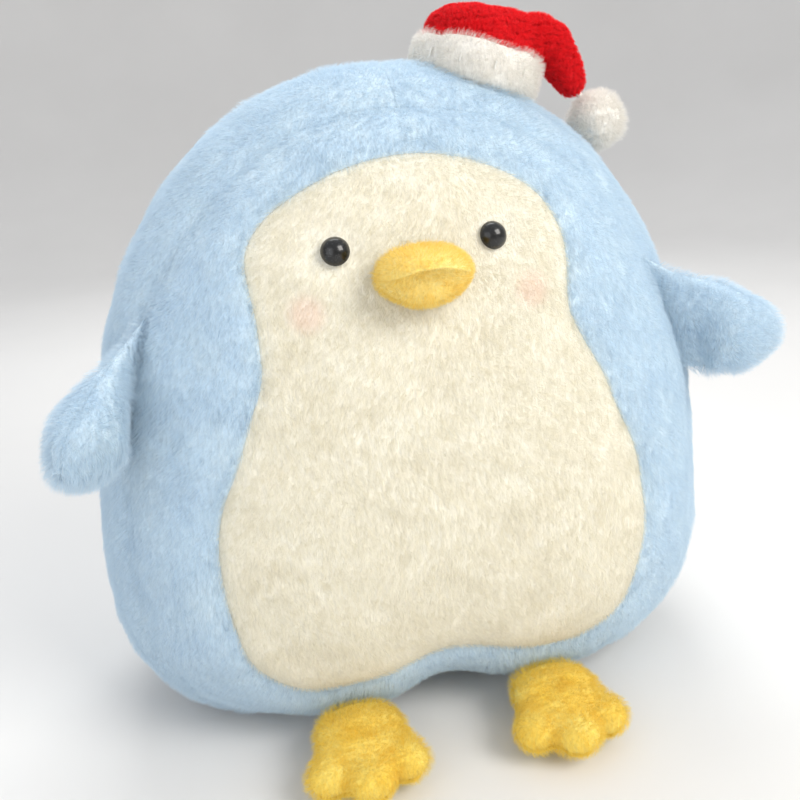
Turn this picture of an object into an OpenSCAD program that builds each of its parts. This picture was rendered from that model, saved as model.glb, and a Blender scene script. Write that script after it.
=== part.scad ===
// Plush penguin: a stuffed, squarish cushion toy with flippers, feet, a beak and a small Santa hat.
// Millimetres. +Z is up, the face looks towards -Y, and the toy sits on the plane z = 0.
// Left and right are the penguin's own: left is +X.

/* [Body] */
// Width of the body without its flippers
body_w = 405; // [300:1:480]
// Height of the body without its hat
body_h = 410; // [320:1:480]
// Depth of the body in front of its middle
front_d = 126; // [90:1:150]
// Depth of the body behind its middle
back_d = 118; // [90:1:150]
// How much narrower the head is than the seat
taper = 0.143; // [0:0.01:0.25]
// How much deeper the seat is than the head
belly = 0.22; // [0:0.01:0.3]
// Height of the dent between the two lobes of the lower front
notch_h = 22; // [0:1:35]
// Thickness of the plush, its backing and pile together
plush = 4; // [3:0.5:6]

/* [Face] */
// How far the face sits to the penguin's left of the middle
face_off = -3.5; // [-5:0.5:5]
// Distance between the eyes' centres
eye_gap = 89; // [70:1:100]
// Height of the eyes above the seat plane
eye_z = 315; // [300:1:330]
// Diameter of a safety eye
eye_d = 16; // [10:0.5:20]
// Height of the beak's centre above the seat plane
beak_z = 300; // [285:1:310]
// Width of the beak
beak_w = 54; // [40:1:64]
// Height of the beak
beak_h = 34; // [26:1:46]
// How far the beak stands out of the face
beak_l = 30; // [20:1:40]

/* [Flippers] */
// Length of a flipper from its root to its tip
flipper_l = 61; // [54:1:72]
// Width of a flipper
flipper_w = 52; // [44:1:60]
// Thickness of a flipper
flipper_t = 36; // [24:1:44]
// Angle that the left flipper hangs below the square of its seam
droop_left = 38; // [20:1:50]
// Angle that the right flipper hangs below the square of its seam
droop_right = 34; // [20:1:50]
// Turn of the left flipper forward from the penguin's side
lean_left = 12; // [8:1:30]
// Turn of the right flipper forward from the penguin's side
lean_right = 66; // [40:1:70]

/* [Feet] */
// Distance between the feet's centre lines
foot_gap = 128; // [110:1:150]
// Length of a foot from its seam to its middle toe
foot_l = 64; // [56:1:80]
// Width of a foot across its root
foot_w = 58; // [48:1:62]
// Thickness of a foot
foot_t = 32; // [28:1:36]
// Height of the soles above the seat plane
foot_z = 8; // [0:1:10]

/* [Hat] */
// Outer diameter of the hat's trim band
hat_d = 80; // [60:1:100]
// Height of the trim band
trim_h = 20; // [12:1:28]
// Diameter of the pompom
pompom_d = 39; // [28:1:50]

/* [Hidden] */

blue = [0.72, 0.84, 0.96];
cream = [0.96, 0.95, 0.90];
yellow = [0.96, 0.81, 0.36];
red = [0.85, 0.10, 0.14];
white = [0.95, 0.94, 0.92];
black = [0.05, 0.05, 0.05];
fibre = [0.93, 0.93, 0.93];

// Space left between two pieces that are sewn together, half of it on each side
seam = 0.4;
// Space between the body's covers and its filling
slack = 3;
// Space between a small cover and its filling
fit = 0.6;
// Space between a thread and the cloth that it holds
thread_gap = 0.4;
// Plush of the small stuffed pieces
thin_plush = 2;
// Steps round the body and round a small piece
steps = 48;
small_steps = 24;

// The body: an outline seen from the front, swept into a rounded depth
flat_cut = 14;                          // the seat is pressed flat by this much
half_w = body_w / 2 * 0.985;            // the taper makes the widest place a little wider
half_h = (body_h + flat_cut) / 2;
centre_z = half_h - flat_cut;
n_up = 2.2;                             // squareness of the head
n_low = 3.4;                            // squareness of the seat
n_side = 2.56;                          // squareness seen from the side
notch_w = 34;                           // width of the dent between the lobes
seam_turn = 32;                         // where the front and back seams run, from the middle of the side

// Outline of the face and belly panel: angle from straight up, and distance from the body's centre
face_outline = [
    [0, 167], [18, 166], [32, 163], [41, 152], [50, 125], [61, 113], [74, 113], [88, 118], [102, 132],
    [115, 144], [128, 157], [140, 171], [151, 172], [164, 155], [180, 146]
];
// The face reaches this much further at the penguin's right temple, and less at its left one
temple_lean = 9;
temple_at = 45;
temple_spread = 13;

function power(v, n) = pow(abs(v), n);
function mix(a, b, s) = a + (b - a) * s;
function ease(s) = s * s * (3 - 2 * s);

// Distance from the centre to the outline, in the direction t, for the half sizes w and h
function rim_radius(t, w, h) =
    let (n = sin(t) > 0 ? n_up : n_low)
    pow(power(cos(t) / w, n) + power(sin(t) / h, n), -1 / n);

// A point of the body: t goes round the outline, p goes from the back (-90) to the front (90),
// and inset is the depth below the outside
function body_point(t, p, inset) =
    let (
        q = pow(power(cos(p), n_side) + power(sin(p), n_side), -1 / n_side),
        r = q * cos(p) * rim_radius(t, half_w - inset, half_h - inset),
        rise = r * sin(t),
        x = r * cos(t) * (1 - taper * rise / half_h),
        low = max(0, -rise / half_h),
        fore = min(1, max(0, 0.5 + sin(p))),
        dent = notch_h * exp(-pow(x / notch_w, 2)) * low * low * ease(fore)
    )
    [
        x,
        -((p > 0 ? front_d : back_d) - inset) * q * sin(p) * (1 - belly * rise / half_h),
        max(inset, centre_z + rise + dent)
    ];

// Turn p at which the body is the share c of its outline's radius
function turn_at(c) = atan(pow(pow(c, -n_side) - 1, 1 / n_side));

// Radius of the face panel in the direction that is a degrees from straight up
function face_radius(a) =
    let (
        k = max([for (i = [0 : len(face_outline) - 2]) a >= face_outline[i][0] ? i : 0]),
        s = (a - face_outline[k][0]) / (face_outline[k + 1][0] - face_outline[k][0]),
        before = face_outline[max(0, k - 1)][1],
        after = face_outline[min(len(face_outline) - 1, k + 2)][1],
        v1 = face_outline[k][1],
        v2 = face_outline[k + 1][1],
        slope = v2 - before,
        bend = 2 * before - 5 * v1 + 4 * v2 - after,
        twist = 3 * (v1 - v2) + after - before
    )
    v1 + 0.5 * s * (slope + s * (bend + s * twist));

// Angle of t from straight up, from 0 to 180
function from_top(t) = acos(sin(t));

function temple(t) = -sign(cos(t)) * temple_lean * exp(-pow((from_top(t) - temple_at) / temple_spread, 2));

// Turn p of the face panel's edge
function face_turn(t) = turn_at((face_radius(from_top(t)) + temple(t)) / rim_radius(t, half_w, half_h));

// Corner of a grid of n steps by rows: a pole row shares one corner, and a closed grid wraps round
function corner(i, j, layer, n, rows, wrap, low_pole, high_pole) =
    let (
        pole = (low_pole && j == 0) || (high_pole && j == rows),
        k = pole ? 0 : (wrap ? i % n : i)
    )
    layer * (n + 1) * (rows + 1) + j * (n + 1) + k;

// Triangle without repeated corners
function sound(f) = f[0] != f[1] && f[1] != f[2] && f[2] != f[0];
function halves(a, b, c, d) = [for (f = [[a, b, c], [a, c, d]]) if (sound(f)) f];

// A sheet of cloth between the layers outer and inner: at(s, v, inset) gives its points for s and v from 0
// to 1.
// With inner undefined it is one closed skin.
module sheet(at, n, rows, outer, inner, wrap, low_pole, high_pole) {
    solid = is_undef(inner);
    layers = solid ? [outer] : [outer, inner];
    points = [for (inset = layers) for (j = [0 : rows]) for (i = [0 : n]) at(i / n, j / rows, inset)];
    id = function(i, j, layer) corner(i, j, layer, n, rows, wrap, low_pole, high_pole);
    faces = [
        for (j = [0 : rows - 1]) for (i = [0 : n - 1]) each concat(
            halves(id(i, j, 0), id(i, j + 1, 0), id(i + 1, j + 1, 0), id(i + 1, j, 0)),
            solid ? [] : halves(id(i, j, 1), id(i + 1, j, 1), id(i + 1, j + 1, 1), id(i, j + 1, 1))
        ),
        for (i = [0 : n - 1]) if (!solid && !low_pole) each
            halves(id(i, 0, 0), id(i + 1, 0, 0), id(i + 1, 0, 1), id(i, 0, 1)),
        for (i = [0 : n - 1]) if (!solid && !high_pole) each
            halves(id(i, rows, 0), id(i, rows, 1), id(i + 1, rows, 1), id(i + 1, rows, 0)),
        for (j = [0 : rows - 1]) if (!solid && !wrap) each concat(
            halves(id(0, j, 0), id(0, j, 1), id(0, j + 1, 1), id(0, j + 1, 0)),
            halves(id(n, j, 0), id(n, j + 1, 0), id(n, j + 1, 1), id(n, j, 1))
        )
    ];
    polyhedron(points, faces, convexity = 4);
}

// A panel of the body from t0 to t1, between the turns low(t) and high(t)
module panel(t0, t1, low, high, n, rows, low_pole, high_pole) {
    sheet(
        function(s, v, inset)
            let (t = mix(t0, t1, s)) body_point(t, mix(low(t), high(t), v), inset),
        n, rows, 0, plush, t1 - t0 == 360, low_pole, high_pole
    );
}

// Angle that a seam's half gap takes at the body's radius
seam_angle = seam / body_w * 2 * 180 / PI;
// Flat part of the seat, as shares of the body's width and depth, and the radius of its corners
base_w = body_w * 0.6;
base_d = (front_d + back_d) * 0.46;
base_r = 46;

module base_shape(grow) {
    for (x = [-1, 1]) for (y = [-1, 1])
        translate([x * (base_w / 2 - base_r), y * (base_d / 2 - base_r)]) circle(base_r + grow, $fn = 64);
    square([base_w - 2 * base_r, base_d + 2 * grow], center = true);
    square([base_w + 2 * grow, base_d - 2 * base_r], center = true);
}

// The point of the front at x and z, and the slopes of the surface there
function front_point(x, z) =
    let (
        rise = z - centre_z,
        wide = x / (1 - taper * rise / half_h),
        t = atan2(rise, wide)
    )
    body_point(t, turn_at(norm([wide, rise]) / rim_radius(t, half_w, half_h)), 0);
function lean_at(x, z) = atan2(front_point(x, z + 5)[1] - front_point(x, z - 5)[1], 10);
function yaw_at(x, z) = atan2(front_point(x + 5, z)[1] - front_point(x - 5, z)[1], 10);

// Where the eyes' stems go in, square to the face
eye_x = eye_gap / 2;
eye_spot = front_point(eye_x, eye_z);
eye_lean = lean_at(eye_x, eye_z);
eye_yaw = yaw_at(eye_x, eye_z);
eye_r = eye_d / 2;
// The dome is the cap of a ball of this share of the eye's radius, whose centre lies this share behind the
// flat back
dome_share = 1.06;
dome_back = 0.35;
stem_r = 2.5;
stem_l = 16;
// Space round a stem in its hole, and round a washer in the filling
stem_gap = 0.6;
washer_gap = 1;
washer_r = 9;
washer_t = 2;
// Space between a stem and its washer, which grips it
grip_gap = 0.05;
// The dome's flat back stands off the cloth by this much
eye_lift = 0.6;

// Puts an eye's own frame, with +Z out of the face, on the side given by 1 or -1
module at_eye(side) {
    translate([side * eye_x + face_off, eye_spot[1], eye_z])
        rotate([90 - eye_lean, 0, side * eye_yaw]) children();
}

module body_filling() {
    color(fibre) difference() {
        sheet(
            function(s, v, inset) body_point(360 * s, mix(-90, 90, v), inset),
            steps, 24, plush + slack, undef, true, true, true
        );
        for (side = [-1, 1]) at_eye(side) translate([0, 0, -stem_l - 2 * washer_gap])
            cylinder(r = washer_r + washer_gap, h = 2 * stem_l, $fn = 32);
    }
}

module face_belly_panel() {
    color(cream) difference() {
        panel(0, 360, function(t) face_turn(t) + seam_angle, function(t) 90, steps, 7, false, true);
        for (side = [-1, 1]) at_eye(side) translate([0, 0, -stem_l])
            cylinder(r = stem_r + stem_gap, h = 2 * stem_l, $fn = 32);
    }
}

module front_panel() {
    color(blue) panel(0, 360, function(t) seam_turn + seam_angle, function(t) face_turn(t) - seam_angle,
        steps, 3, false, false);
}

// Half of the band between the front and back seams, open under the base panel
module gusset(side) {
    t0 = side > 0 ? -90 + seam_angle : 90 + seam_angle;
    color(blue) difference() {
        panel(t0, t0 + 180 - 2 * seam_angle, function(t) -seam_turn, function(t) seam_turn,
            steps / 2, 8, false, false);
        translate([0, 0, -plush]) linear_extrude(2 * plush + slack) base_shape(seam);
    }
}

module back_panel(side) {
    t0 = side > 0 ? -90 + seam_angle : 90 + seam_angle;
    color(blue) panel(t0, t0 + 180 - 2 * seam_angle, function(t) -90, function(t) -seam_turn - seam_angle,
        steps / 2, 7, true, false);
}

module base_panel() {
    color(blue) linear_extrude(plush) base_shape(0);
}

// Ladder stitches over the closing gap in the centre-back seam
closing_low = 95;
closing_step = 8;
closing_count = 12;
stitch_r = 0.6;
stitch_l = 6;

module closing_stitches() {
    color(blue) for (k = [0 : closing_count - 1]) {
        z = closing_low + k * closing_step;
        turn = -turn_at(abs(z - centre_z) / rim_radius(z > centre_z ? 90 : -90, half_w, half_h));
        y = body_point(z > centre_z ? 90 : -90, turn, 0)[1];
        translate([0, y + stitch_r + thread_gap, z]) rotate([0, 90, 0])
            cylinder(r = stitch_r, h = stitch_l, center = true, $fn = 24);
    }
}

// A blank folded label in the back seam, low on the penguin's left
label_w = 24;
label_l = 34;
label_t = 0.6;
label_turn = -34;
label_yaw = 30;
label_gap = [1, 2, 0];                  // from the body's skin to the label's near corner

module care_label() {
    spot = body_point(label_turn, -seam_turn, 0);
    color(white) translate(spot + label_gap) rotate([0, 0, label_yaw])
        translate([0, -label_t / 2, -label_w / 2]) cube([label_l, label_t, label_w]);
}

// A domed safety eye: the dome, a flat back and a stem through the plush
module eye(side) {
    color(black) at_eye(side) rotate_extrude($fn = 64) {
        intersection() {
            translate([0, eye_lift - eye_r * dome_back]) circle(eye_r * dome_share, $fn = 64);
            translate([0, eye_lift]) square([eye_r, eye_r]);
        }
        translate([0, eye_lift - stem_l]) square([stem_r, stem_l + 1]);
    }
}

module eye_washer(side) {
    color(white) at_eye(side) translate([0, 0, -plush - washer_gap - washer_t]) difference() {
        cylinder(r = washer_r, h = washer_t, $fn = 48);
        translate([0, 0, -washer_t]) cylinder(r = stem_r + grip_gap, h = 3 * washer_t, $fn = 48);
    }
}

// The beak is half of a flattened, slightly squared egg on the face
beak_square = 2.4;
beak_back_y = front_point(0, beak_z - beak_h / 2)[1] - fit;
beak_skin = 3;

function beak_point(a, v, inset) =
    let (
        q = pow(power(cos(90 * v), beak_square) + power(sin(90 * v), beak_square), -1 / beak_square),
        round = q * cos(90 * v)
    )
    [
        face_off + (beak_w / 2 - inset) * round * cos(a),
        beak_back_y - (beak_l - inset) * q * sin(90 * v),
        beak_z + (beak_h / 2 - inset) * round * sin(a)
    ];

module beak_half(from) {
    color(yellow) translate([0, 0, from == 0 ? seam / 2 : -seam / 2])
        sheet(function(s, v, inset) beak_point(from + 180 * s, v, inset),
            small_steps / 2, 6, 0, beak_skin, false, false, true);
}

module beak_upper() {
    beak_half(0);
}

module beak_lower() {
    beak_half(180);
}

module beak_filling() {
    color(fibre) intersection() {
        sheet(function(s, v, inset) beak_point(360 * s, 2 * v - 1, inset),
            small_steps, 10, beak_skin + fit, undef, true, true, true);
        translate([face_off, beak_back_y - beak_l / 2, beak_z])
            cube([beak_w, beak_l, beak_h], center = true);
    }
}

// The hat's own frame: +Z along its axis, its trim standing on the head
hat_turn = 70;                          // place on the outline, from the penguin's left
hat_tilt = 16.5;
hat_sink = 0.4;                         // the trim presses this far into the pile
hat_r = hat_d / 2;
hat_spot = body_point(hat_turn, 0, 0);
band_t = 9;
crown_r = hat_r - 4;
crown_floor = trim_h + seam;
felt = 2.5;
dome_r = 24;
dome = [-4, 0, 20];
bulge_r = 18;
bulge = [23, 0, 25];
fold = [43, 0, 34];
tip_drop = 40;                          // below the hat's own level
tip_root_r = 13;
tip_end_r = 8.5;
tip_l = 37;
tie_r = 2;
tie_l = 3;
// Room for the tie to swing past the tip's end
tie_gap = 1.6;

module at_hat() {
    translate(hat_spot) rotate([0, hat_tilt, 0]) translate([0, 0, -hat_sink]) children();
}

// The tip's own frame: +Z from the fold to the pompom
module at_tip() {
    at_hat() translate(fold) rotate([0, 90 + tip_drop, 0]) children();
}

module hat_trim() {
    color(white) at_hat() rotate_extrude($fn = 96) {
        translate([hat_r - band_t / 2, band_t / 2]) circle(band_t / 2, $fn = 48);
        translate([hat_r - band_t / 2, trim_h - band_t / 2]) circle(band_t / 2, $fn = 48);
        translate([hat_r - band_t, band_t / 2]) square([band_t, trim_h - band_t]);
    }
}

// The crown swells towards the fold, where the tip begins
module crown_shape(inset) {
    difference() {
        at_hat() hull() {
            translate([0, 0, crown_floor]) cylinder(r = crown_r - 2 * inset, h = felt, $fn = 48);
            translate(dome) sphere(dome_r - inset, $fn = 32);
            translate(bulge) sphere(bulge_r - inset, $fn = 32);
        }
        at_hat() translate([0, 0, crown_floor + inset - hat_d]) cylinder(r = hat_d, h = hat_d, $fn = 48);
        at_tip() translate([0, 0, -seam - inset]) cylinder(r = hat_d, h = hat_d, $fn = 48);
    }
}

module hat_crown() {
    color(red) difference() {
        crown_shape(0);
        crown_shape(felt);
    }
}

module hat_filling() {
    color(fibre) crown_shape(felt + fit);
}

// Whip stitches round the foot of the trim
tack_count = 12;
tack_l = 5;

module hat_tack_stitches() {
    color(white) at_hat() for (k = [0 : tack_count - 1])
        rotate([0, 0, k * 360 / tack_count]) translate([hat_r + stitch_r + thread_gap, 0, band_t / 2])
            cylinder(r = stitch_r, h = tack_l, $fn = 24);
}

// The tip folds down beside the crown and ends in the pompom
module tip_shape(inset) {
    translate([0, 0, inset])
        cylinder(r1 = tip_root_r - inset, r2 = tip_end_r - inset, h = tip_l - 2 * inset, $fn = 64);
}

module hat_tip() {
    color(red) at_tip() difference() {
        tip_shape(0);
        tip_shape(felt);
    }
}

module hat_tip_filling() {
    color(fibre) at_tip() tip_shape(felt + fit);
}

module pompom_tie() {
    color(white) at_tip() translate([0, 0, tip_l + tie_gap]) cylinder(r = tie_r, h = tie_l, $fn = 32);
}

module pompom() {
    color(white) at_tip() translate([0, 0, tip_l + tie_gap + tie_l + pompom_d / 2])
        sphere(d = pompom_d, $fn = 96);
}

// A flipper grows from a straight stretch of the front seam. Its own directions, on the penguin's left,
// are root_up along the seam, out_way square to it and back_way towards the back.
root_t = 3;                             // half of the thickness at the root
root_w = flipper_w * 0.69;              // half of the width at the root
wide_at = 0.6;                          // share of the length where the bulge of the tip is widest
thick_at = 0.45;                        // share of the length where it is thickest
square_at = 0.5;                        // share of the length where the width is square to the middle line
tip_square = 2.4;                       // squareness of the tip, seen from its edge
least_half = 0.3;                       // half of the least width and thickness
root_turn = 16.5;
root_reach = 9;
root_off = 13;
root_drop = 12;                         // the root's middle lies below the seam's by this much
seam_low = body_point(root_turn - root_reach, seam_turn, 0);
seam_high = body_point(root_turn + root_reach, seam_turn, 0);
seam_spot = (seam_low + seam_high) / 2;
root_up = unit(seam_high - seam_low);

function unit(v) = v / norm(v);

function out_way(side) =
    let (lean = side > 0 ? lean_left : lean_right, level = [cos(lean), -sin(lean), 0])
    unit(level - (level * root_up) * root_up);
function back_way(side) = cross(root_up, out_way(side));

function flipper_half_w(v) =
    v < wide_at ? mix(root_w, flipper_w / 2, ease(v / wide_at))
                : flipper_w / 2 * sqrt(max(0, 1 - pow((v - wide_at) / (1 - wide_at), 2)));
function flipper_half_t(v) =
    v < thick_at ? mix(root_t, flipper_t / 2, ease(v / thick_at))
                 : flipper_t / 2 * sqrt(max(0, 1 - pow((v - thick_at) / (1 - thick_at), tip_square)));

// Middle line of a flipper, out and up from the seam's middle: it leaves the root at its droop, and its tip
// hangs a little more
first_l = flipper_l * 0.36;
last_l = flipper_l * 0.4;
tip_hang = 8;
function hanging(a) = [cos(a), -sin(a)];
function middle_ends(droop) =
    let (start = [root_off, -root_drop], tip = start + flipper_l * hanging(droop))
    [start, start + first_l * hanging(droop), tip - last_l * hanging(droop + tip_hang), tip];
function middle(c, v) =
    pow(1 - v, 3) * c[0] + 3 * v * pow(1 - v, 2) * c[1] + 3 * v * v * (1 - v) * c[2] + v * v * v * c[3];
function middle_way(c, v) =
    unit(pow(1 - v, 2) * (c[1] - c[0]) + 2 * v * (1 - v) * (c[2] - c[1]) + v * v * (c[3] - c[2]));

function flipper_point(side, a, v, inset) =
    let (
        c = middle_ends(side > 0 ? droop_left : droop_right),
        u = (inset + v * (flipper_l - 2 * inset)) / flipper_l,
        way = middle_way(c, u),
        across = unit(mix([0, 1], [-way[1], way[0]], ease(min(1, u / square_at)))),
        blunt = v == 1 ? 0 : 1,
        wide = max(least_half, flipper_half_w(v) - inset) * cos(a) * blunt,
        thick = max(least_half, flipper_half_t(v) - inset) * sin(a) * blunt,
        spot = middle(c, u) + wide * across,
        p = seam_spot + out_way(side) * spot[0] + root_up * spot[1] - back_way(side) * thick
    )
    [side * p[0], p[1], p[2]];

// A closed grid turns the other way round on the mirrored side
function turned(side, s) = side > 0 ? s : 1 - s;

module flipper_half(side, from) {
    gap = back_way(side) * (from == 0 ? -seam / 2 : seam / 2);
    color(blue) translate([side * gap[0], gap[1], gap[2]])
        sheet(function(s, v, inset) flipper_point(side, from + 180 * turned(side, s), v, inset),
            small_steps / 2, 9, 0, thin_plush, false, false, true);
}

module flipper_filling(side) {
    inner = thin_plush + fit;
    color(fibre) sheet(
        function(s, v, inset) v == 0
            ? mix(flipper_point(side, 0, 0, inset), flipper_point(side, 180, 0, inset), 0.5)
            : flipper_point(side, 360 * turned(side, s), v, inset),
        small_steps, 9, inner, undef, true, true, true
    );
}

// A foot's own frame: +Y from its toes to its seam, z = 0 under the sole
foot_y = -113;
foot_root_l = foot_w * 0.55;            // length of the straight root
foot_root_t = 26;
foot_rise = 30;                         // slope of the top from the root
toe_r = 13;
toe_angles = [-29, 0, 29];
side_toe_l = foot_l * 0.93;
sole_t = 3;
foot_edge_z = foot_t * 0.62;            // height of the upper edge's step
foot_round = 5;                         // the upper edge is set in by this much
step_lap = 1;                           // the two steps of the top run into each other by this much

module foot_shape(inset) {
    root = foot_w / 2 - inset;
    translate([-root, -foot_root_l]) square([2 * root, foot_root_l - inset]);
    for (a = toe_angles) rotate(a) {
        reach = (a == 0 ? foot_l : side_toe_l) - toe_r;
        translate([0, -reach]) circle(toe_r - inset, $fn = 48);
        translate([-toe_r + inset, -reach]) square([2 * (toe_r - inset), reach - toe_r]);
    }
}

module at_foot(side) {
    translate([side * foot_gap / 2, foot_y, foot_z]) children();
}

// Everything above the slope that runs up from the root, moved in by inset
module above_root(inset) {
    translate([-foot_w, 0, foot_root_t - inset]) rotate([-foot_rise, 0, 0]) translate([0, -foot_l, 0])
        cube([2 * foot_w, 2 * foot_l, foot_t]);
}

module foot_body(inset, low) {
    edge = foot_edge_z - inset;
    difference() {
        union() {
            translate([0, 0, low]) linear_extrude(edge - low) foot_shape(inset);
            translate([0, 0, edge - step_lap]) linear_extrude(foot_t - foot_edge_z + step_lap)
                foot_shape(foot_round + inset);
        }
        above_root(inset);
    }
}

module foot_top(side) {
    color(yellow) at_foot(side) difference() {
        foot_body(0, sole_t + seam);
        foot_body(thin_plush, 0);
    }
}

module foot_sole(side) {
    color(yellow) at_foot(side) linear_extrude(sole_t) foot_shape(0);
}

module foot_filling(side) {
    color(fibre) at_foot(side) foot_body(thin_plush + fit, sole_t + seam);
}

body_filling();
face_belly_panel();
front_panel();
gusset(1);  // gusset_left
gusset(-1);  // gusset_right
back_panel(1);  // back_panel_left
back_panel(-1);  // back_panel_right
base_panel();
closing_stitches();
care_label();
eye(1);  // eye_left
eye(-1);  // eye_right
eye_washer(1);  // eye_washer_left
eye_washer(-1);  // eye_washer_right
beak_upper();
beak_lower();
beak_filling();
hat_trim();
hat_crown();
hat_filling();
hat_tack_stitches();
hat_tip();
hat_tip_filling();
pompom();
pompom_tie();
flipper_half(1, 0);  // flipper_left_front
flipper_half(1, 180);  // flipper_left_back
flipper_filling(1);  // flipper_left_filling
flipper_half(-1, 0);  // flipper_right_front
flipper_half(-1, 180);  // flipper_right_back
flipper_filling(-1);  // flipper_right_filling
foot_top(1);  // foot_left_top
foot_sole(1);  // foot_left_sole
foot_filling(1);  // foot_left_filling
foot_top(-1);  // foot_right_top
foot_sole(-1);  // foot_right_sole
foot_filling(-1);  // foot_right_filling
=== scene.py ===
"""Looks of a plush penguin: stuffed body, flippers, feet, beak, safety eyes and a small Santa hat.

Metres, in the CAD model's own frame: +Z up, the face looks towards -Y, +X is the penguin's left. Each soft
piece is a mesh that shows the pile's tufts and streaks; hair curves on it are the pile's single fibres.
"""

import math

import bmesh
import bpy
import numpy as np
from mathutils import Matrix, Vector


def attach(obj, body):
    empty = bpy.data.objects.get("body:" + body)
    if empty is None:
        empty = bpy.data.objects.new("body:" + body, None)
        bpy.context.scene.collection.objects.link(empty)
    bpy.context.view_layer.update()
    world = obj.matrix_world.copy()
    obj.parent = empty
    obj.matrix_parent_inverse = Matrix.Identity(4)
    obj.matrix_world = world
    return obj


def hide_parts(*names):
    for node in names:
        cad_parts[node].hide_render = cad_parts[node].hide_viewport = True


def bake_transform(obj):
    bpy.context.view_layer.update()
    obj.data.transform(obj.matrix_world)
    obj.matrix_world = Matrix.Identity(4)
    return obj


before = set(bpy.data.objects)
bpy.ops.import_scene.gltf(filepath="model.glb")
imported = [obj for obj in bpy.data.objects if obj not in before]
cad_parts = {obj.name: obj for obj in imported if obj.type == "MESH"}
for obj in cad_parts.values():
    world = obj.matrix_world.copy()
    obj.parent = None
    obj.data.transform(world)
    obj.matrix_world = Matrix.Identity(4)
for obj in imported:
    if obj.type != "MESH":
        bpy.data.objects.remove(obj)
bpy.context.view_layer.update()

MM = 0.001
SIDES = (1, "left"), (-1, "right")

# Body, as in the CAD model
BODY_W, BODY_H = 405 * MM, 410 * MM
FRONT_D, BACK_D = 126 * MM, 118 * MM
TAPER, BELLY = 0.143, 0.22
FLAT_CUT = 14 * MM
WIDEST = 0.985          # the taper makes the widest place a little wider than the middle
HALF_W = BODY_W / 2 * WIDEST
HALF_H = (BODY_H + FLAT_CUT) / 2
CENTRE_Z = HALF_H - FLAT_CUT
N_UP, N_LOW, N_SIDE = 2.2, 3.4, 2.56
NOTCH_H, NOTCH_W = 22 * MM, 34 * MM
SEAM_TURN = 32
SEAT_SOFT = 6 * MM      # rounds the edge of the flat seat
PLUSH = 3 * MM
# The face panel's outline: degrees from straight up, and radius in millimetres
FACE_OUTLINE = [
    (0, 167), (18, 166), (32, 163), (41, 152), (50, 125), (61, 113), (74, 113), (88, 118), (102, 132),
    (115, 144), (128, 157), (140, 171), (151, 172), (164, 155), (180, 146),
]
TEMPLE_LEAN, TEMPLE_AT, TEMPLE_SPREAD = 9 * MM, 45, 13

# Face, a little off the body's middle
FACE_OFF = -3.5 * MM
EYE_X, EYE_Z = 44.5 * MM, 315 * MM
EYE_DENT, EYE_DENT_R, EYE_SEAT_R = 2.5 * MM, 14 * MM, 9 * MM
CHEEK_X, CHEEK_Z = 64 * MM, 284 * MM
CHEEK_R, CHEEK_CORE_R, CHEEK_PINK = 14 * MM, 4 * MM, 0.18
BEAK_Z, BEAK_W, BEAK_H, BEAK_L = 300 * MM, 54 * MM, 34 * MM, 30 * MM

# Flippers: a turn forward and a droop for each side, the penguin's left (1) and right (-1)
FLIPPER_L, FLIPPER_W, FLIPPER_T = 61 * MM, 52 * MM, 36 * MM
LEAN, DROOP, TIP_HANG = {1: 12, -1: 66}, {1: 38, -1: 34}, 8
FIRST_L, LAST_L = 0.36, 0.4
ROOT_TURN, ROOT_REACH, SEAM_REACH = 16.5, 9, 12
ROOT_OFF, ROOT_DROP, ROOT_W, ROOT_T = 13 * MM, 12 * MM, FLIPPER_W * 0.69, 7 * MM
WIDE_AT, THICK_AT, SQUARE_AT, TIP_SQUARE = 0.6, 0.45, 0.5, 2.4

# Feet
FOOT_X, FOOT_Y, FOOT_Z, FOOT_L = 64 * MM, -113 * MM, 8 * MM, 64 * MM
TOE_R, TOE_TURN, SIDE_TOE = 13 * MM, 29, 0.93

# Hat
HAT_TURN, HAT_TILT, HAT_SINK = 70, 16.5, 0.4 * MM
HAT_R, TRIM_H, BAND_T = 40 * MM, 20 * MM, 9 * MM
FOLD = np.array([43, 0, 34]) * MM
TIP_DROP, TIP_L, TIP_ROOT_R, TIP_END_R = 40, 37 * MM, 13 * MM, 8.5 * MM
TIE_ROOM, TIE_L = 1.6 * MM, 3 * MM
POMPOM_R = 19.5 * MM

# The cloth under the pile lies this far below the CAD surface, which stands for the pile's top
PILE = 2.5 * MM
# Fibres per square metre of cloth, and a factor on the fibres' thickness
FUR_DENSITY = 1.2e6
FUR_THICK = 1.0


# -------- small mathematics

def sind(a):
    return np.sin(np.radians(a))


def cosd(a):
    return np.cos(np.radians(a))


def mix(a, b, s):
    return a + (b - a) * s


def ease(s):
    s = np.clip(s, 0, 1)
    return s * s * (3 - 2 * s)


def unit(v):
    return v / np.maximum(np.linalg.norm(v, axis=-1, keepdims=True), 1e-12)


def superellipse(a, n, w=1.0, h=1.0):
    """Radius of a rounded shape in the direction a: the larger n, the squarer."""
    return (np.abs(cosd(a) / w) ** n + np.abs(sind(a) / h) ** n) ** (-1 / n)


def turned_about_y(angle):
    """Rotation about Y, in degrees."""
    return np.array(Matrix.Rotation(math.radians(angle), 3, "Y"))


def ripple(points, scale, seed):
    """Smooth noise, mostly from -1 to 1, with bumps of about the size scale."""
    rng = np.random.default_rng(seed)
    total = np.zeros(points.shape[:-1])
    for _ in range(10):
        wave = unit(rng.normal(size=3)) * rng.uniform(0.6, 1.5) * math.tau / (2 * scale)
        total += np.sin(points @ wave + rng.uniform(0, math.tau))
    return total / 4


def whirl(points, scale, seed):
    """Smooth noise in each of the three directions."""
    return np.stack([ripple(points, scale, seed + axis) for axis in range(3)], -1)


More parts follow.
